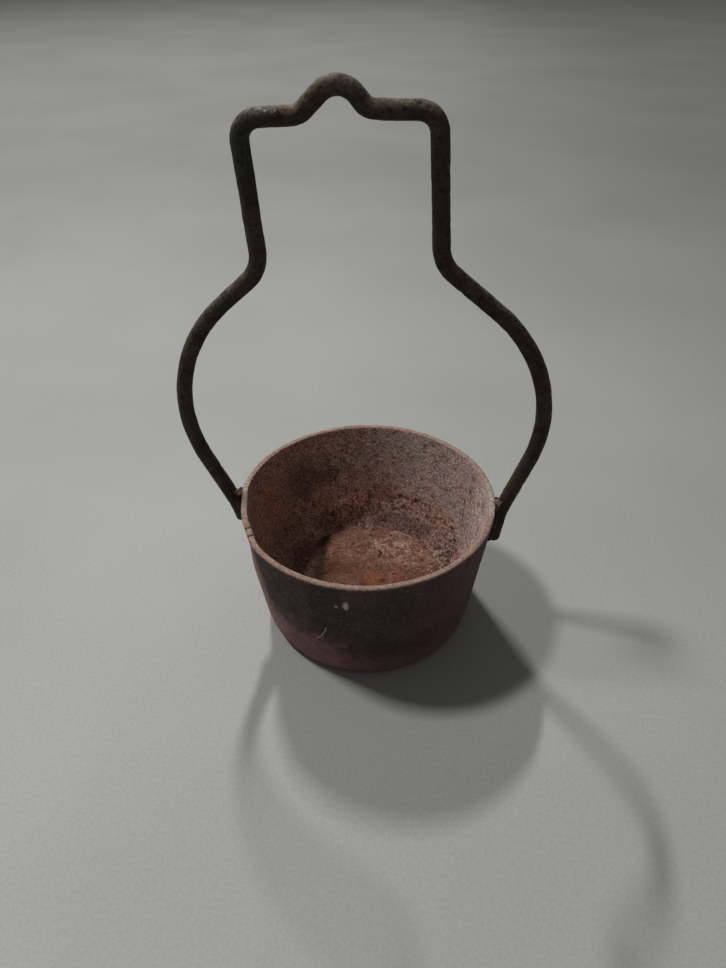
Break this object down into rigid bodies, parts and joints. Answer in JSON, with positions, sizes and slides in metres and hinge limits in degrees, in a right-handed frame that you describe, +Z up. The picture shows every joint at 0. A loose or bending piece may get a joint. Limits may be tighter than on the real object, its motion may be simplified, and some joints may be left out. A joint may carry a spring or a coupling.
{
  "type": "iron pot with fixed handle",
  "caption": "Rusted cast-iron pot, tapered outside and bowl-shaped over a thick flat floor inside, with a tall fixed bar handle that has a hanging notch; stands on its base and holds plants or loose goods.",
  "frame": {"origin": "centre of the pot's flat base, on the surface that it stands on", "axes": "+Z up along the pot's axis, +X to the right in the plane of the handle, +Y to the rear"},
  "size_m": [0.2839, 0.212, 0.4292],
  "materials": {
    "cast_iron": "rough sand-cast iron, rusted brown, with a paler worn rim",
    "rusted_bar": "forged round bar, blackened and rusted dark brown",
    "weld_metal": "lumpy weld beads, rusted brown"
  },
  "bodies": {
    "root": {"pot": "cast_iron", "handle": "rusted_bar", "weld_left_top": "weld_metal", "weld_left_front": "weld_metal", "weld_left_rear": "weld_metal", "weld_right_top": "weld_metal", "weld_right_front": "weld_metal", "weld_right_rear": "weld_metal"}
  },
  "joints": []
}
